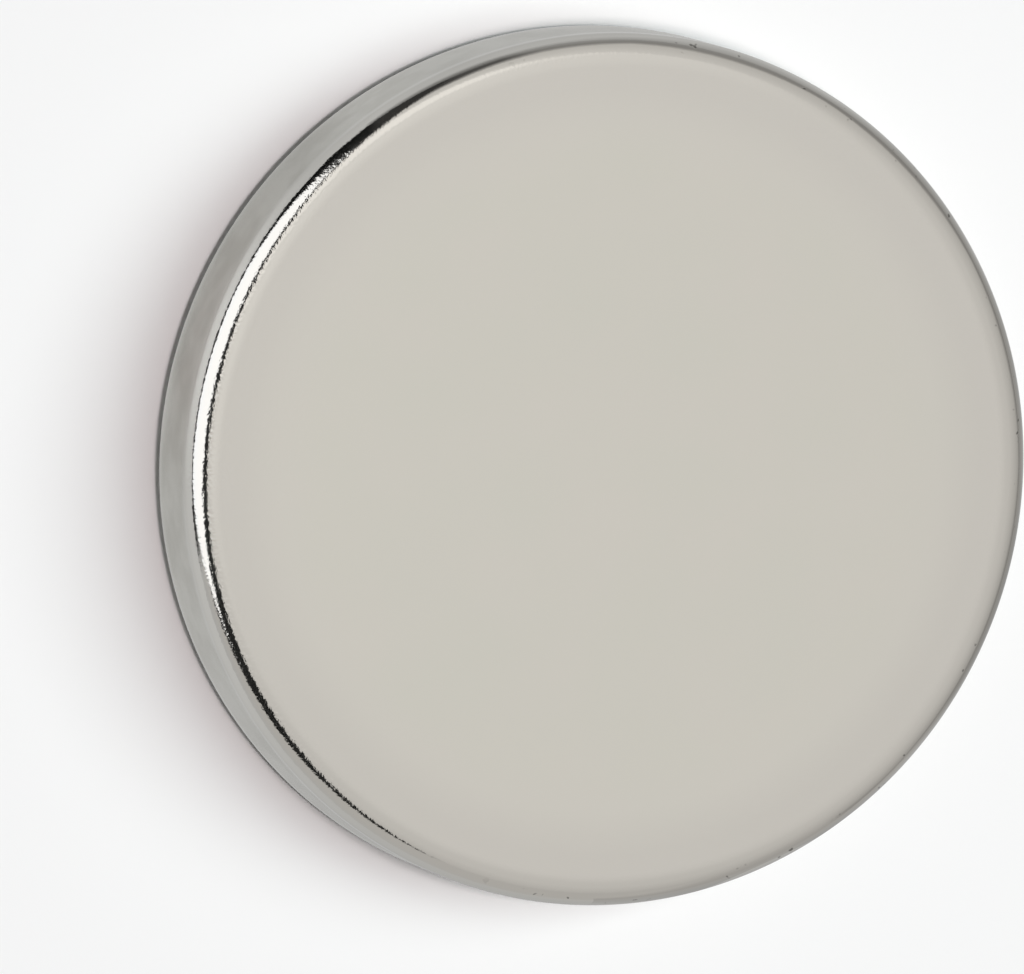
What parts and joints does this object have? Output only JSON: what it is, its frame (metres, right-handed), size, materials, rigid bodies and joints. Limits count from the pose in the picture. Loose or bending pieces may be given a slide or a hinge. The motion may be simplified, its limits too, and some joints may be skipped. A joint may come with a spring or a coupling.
{
  "type": "disc magnet",
  "caption": "Thin round magnet with flat faces, a tumbled rounded edge and bright plating, to hold things to steel or sit in a shallow pocket.",
  "frame": {"origin": "centre of the lower face, on the disc's axis", "axes": "+Z along the disc's axis, from the lower face to the upper one; X and Y lie in the faces and are interchangeable"},
  "size_m": [0.02, 0.02, 0.003],
  "materials": {
    "nickel_plate": "bright nickel plate over a tumbled and ground surface, with a fine satin grain"
  },
  "bodies": {
    "root": {"disc_magnet": "nickel_plate"}
  },
  "joints": []
}
